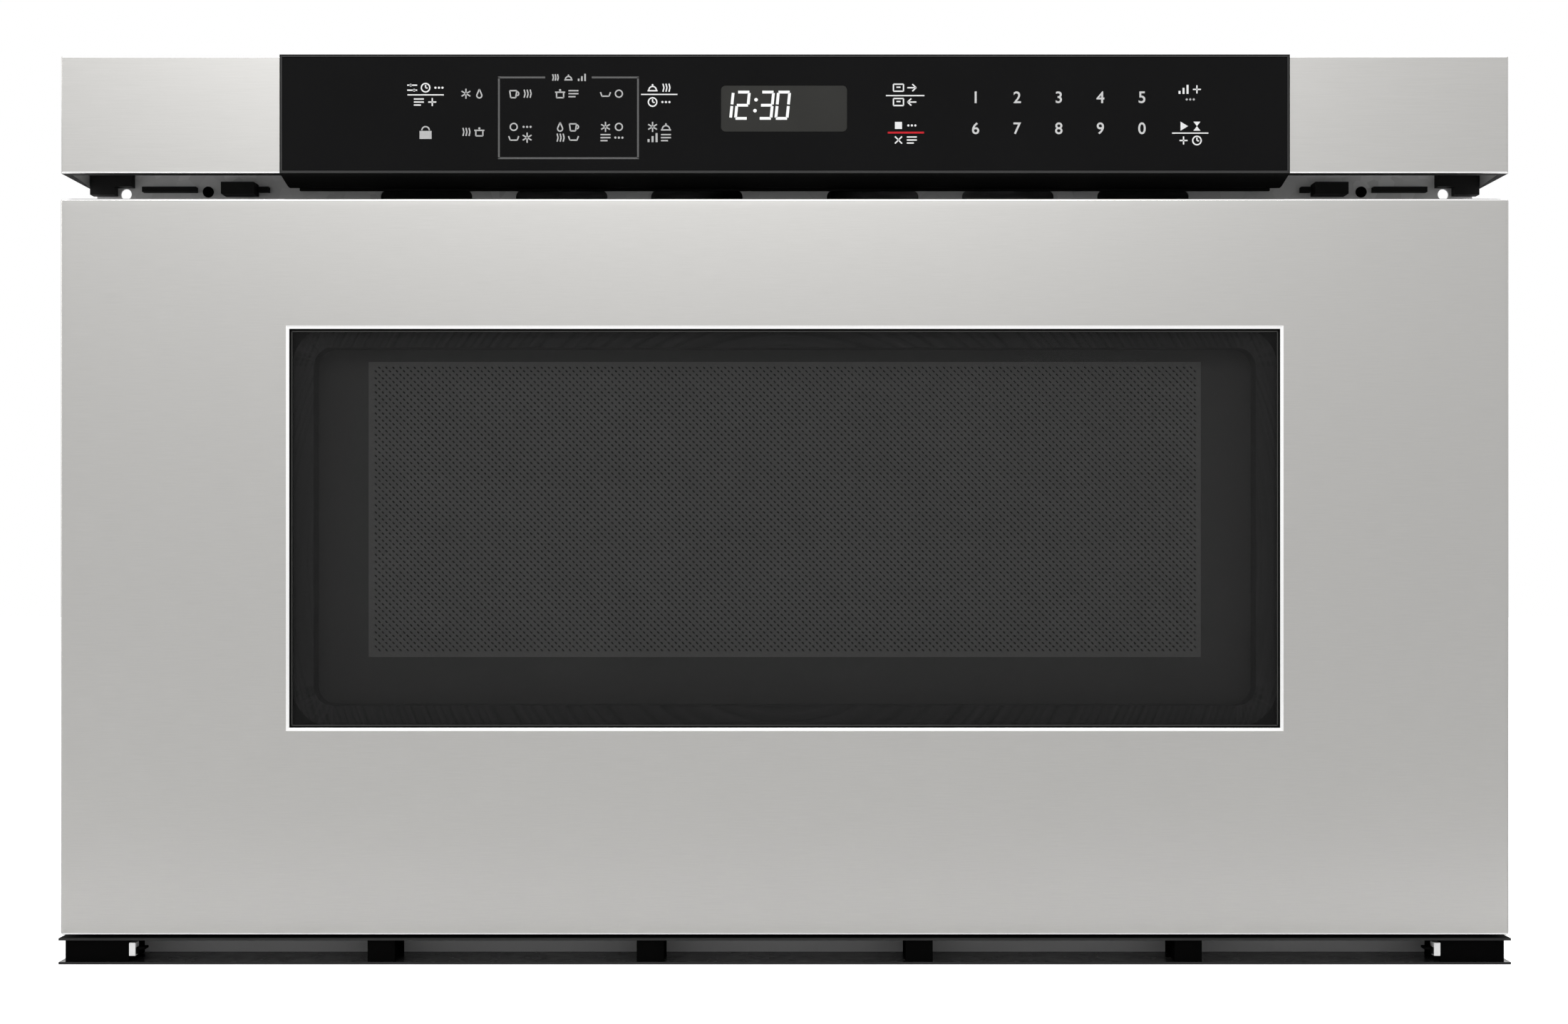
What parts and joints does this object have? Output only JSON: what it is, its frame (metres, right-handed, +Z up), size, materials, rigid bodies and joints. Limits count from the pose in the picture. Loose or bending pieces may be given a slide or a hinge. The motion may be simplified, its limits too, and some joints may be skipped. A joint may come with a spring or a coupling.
{
  "type": "microwave drawer",
  "caption": "Built-in microwave oven drawer with a stainless door, a window, a black touch panel with display, and a tub on telescopic slides driven by racks and pinions.",
  "frame": {"origin": "middle of the bounding box's footprint, at the level of the surface the base stands on", "axes": "+X to the viewer's right, +Y from the door towards the back, +Z up"},
  "size_m": [0.6084, 0.592, 0.381],
  "materials": {
    "stainless": "fine horizontal brush, satin",
    "galvanised": "galvanised sheet",
    "zinc_steel": "bright zinc plate",
    "black_steel": "black enamel",
    "grey_enamel": "light grey oven enamel",
    "black_plastic": "fine moulded grain",
    "black_glass": "black touch glass",
    "tinted_glass": "dark tinted pane",
    "clear_glass": "clear pane",
    "display": "smoked display lens",
    "black_rubber": "matt",
    "ceramic": "glazed ceramic sheet, modelled as a stiff board",
    "mica": "pressed mica",
    "copper_core": "varnished laminations and windings",
    "aluminium": "bare",
    "white_plastic": "plain nylon",
    "circuit": "solder mask",
    "motor_black": "black paint"
  },
  "bodies": {
    "chassis": {"base_plate": "galvanised", "front_frame": "galvanised", "cabinet_wrap": "galvanised", "rear_panel": "galvanised", "cord_gland": "black_rubber", "oven_cavity": "grey_enamel", "stirrer_cover": "mica", "stirrer_motor": "motor_black", "waveguide": "galvanised", "magnetron": "aluminium", "fan_shroud": "galvanised", "fan_motor": "motor_black", "transformer": "copper_core", "capacitor": "aluminium", "filter_board": "circuit", "cavity_lamp": "white_plastic", "drive_motor": "motor_black", "panel_housing": "black_plastic", "control_glass": "black_glass", "display_window": "display", "control_board": "circuit", "lower_trim": "black_steel", "trim_spacers": "black_plastic", "chassis_screws": "zinc_steel", "outer_rail_left": "zinc_steel", "outer_rail_right": "zinc_steel", "end_trim_left": "stainless", "end_trim_right": "stainless", "shaft_bearings": "white_plastic", "interlock_switches": "black_plastic", "panel_seals": "black_rubber", "panel_brackets": "black_rubber"},
    "drawer": {"door_skin": "stainless", "window_gasket": "black_rubber", "door_glass": "tinted_glass", "door_frame": "black_steel", "door_screen": "black_steel", "inner_glass": "clear_glass", "choke_cover": "black_plastic", "drawer_tub": "grey_enamel", "ceramic_tray": "ceramic", "drawer_arm_left": "galvanised", "drawer_arm_right": "galvanised", "inner_rail_left": "zinc_steel", "inner_rail_right": "zinc_steel", "rack_left": "white_plastic", "rack_right": "white_plastic", "latch_hooks": "black_plastic", "door_screws": "zinc_steel"},
    "mid_slide_left": {"mid_rail_left": "zinc_steel"},
    "mid_slide_right": {"mid_rail_right": "zinc_steel"},
    "outer_cages": {"outer_ball_cages": "zinc_steel"},
    "inner_cages": {"inner_ball_cages": "zinc_steel"},
    "cross_shaft": {"drive_shaft": "zinc_steel", "shaft_gears": "white_plastic"},
    "motor_output": {"motor_gear": "white_plastic"},
    "stirrer": {"stirrer_fan": "aluminium"},
    "fan_rotor": {"cooling_fan": "black_plastic"},
    "plunger_left": {"switch_plunger_left": "white_plastic"},
    "plunger_right": {"switch_plunger_right": "white_plastic"}
  },
  "joints": [
    {"name": "drawer_slide", "type": "slide", "parent": "chassis", "child": "drawer", "axis": [0, -1, 0], "range_m": [0, 0.38]},
    {"name": "mid_slide_left_travel", "type": "slide", "parent": "chassis", "child": "mid_slide_left", "axis": [0, -1, 0], "range_m": [0, 0.19]},
    {"name": "mid_slide_right_travel", "type": "slide", "parent": "chassis", "child": "mid_slide_right", "axis": [0, -1, 0], "range_m": [0, 0.19]},
    {"name": "outer_cage_travel", "type": "slide", "parent": "chassis", "child": "outer_cages", "axis": [0, -1, 0], "range_m": [0, 0.095]},
    {"name": "inner_cage_travel", "type": "slide", "parent": "chassis", "child": "inner_cages", "axis": [0, -1, 0], "range_m": [0, 0.285]},
    {"name": "pinion_spin", "type": "hinge", "parent": "chassis", "child": "cross_shaft", "pos_m": [0, -0.215, 0.027], "axis": [1, 0, 0], "continuous": true},
    {"name": "motor_gear_spin", "type": "hinge", "parent": "chassis", "child": "motor_output", "pos_m": [0, -0.20375, 0.04649], "axis": [1, 0, 0], "continuous": true},
    {"name": "stirrer_spin", "type": "hinge", "parent": "chassis", "child": "stirrer", "pos_m": [0, -0.04, 0.307], "axis": [0, 0, 1], "continuous": true},
    {"name": "fan_spin", "type": "hinge", "parent": "chassis", "child": "fan_rotor", "pos_m": [-0.085, 0.2374, 0.256], "axis": [1, 0, 0], "continuous": true},
    {"name": "switch_press_left", "type": "slide", "parent": "chassis", "child": "plunger_left", "axis": [0, 1, 0], "range_m": [0, 0.0012], "stiffness_N_per_m": 300},
    {"name": "switch_press_right", "type": "slide", "parent": "chassis", "child": "plunger_right", "axis": [0, 1, 0], "range_m": [0, 0.0012], "stiffness_N_per_m": 300}
  ],
  "couplings": [
    {"joint": "mid_slide_left_travel", "follows": "drawer_slide", "ratio": 0.5},
    {"joint": "mid_slide_right_travel", "follows": "drawer_slide", "ratio": 0.5},
    {"joint": "outer_cage_travel", "follows": "drawer_slide", "ratio": 0.25},
    {"joint": "inner_cage_travel", "follows": "drawer_slide", "ratio": 0.75},
    {"joint": "pinion_spin", "follows": "drawer_slide", "rad_per_m": 74.074},
    {"joint": "motor_gear_spin", "follows": "drawer_slide", "rad_per_m": -148.15}
  ]
}
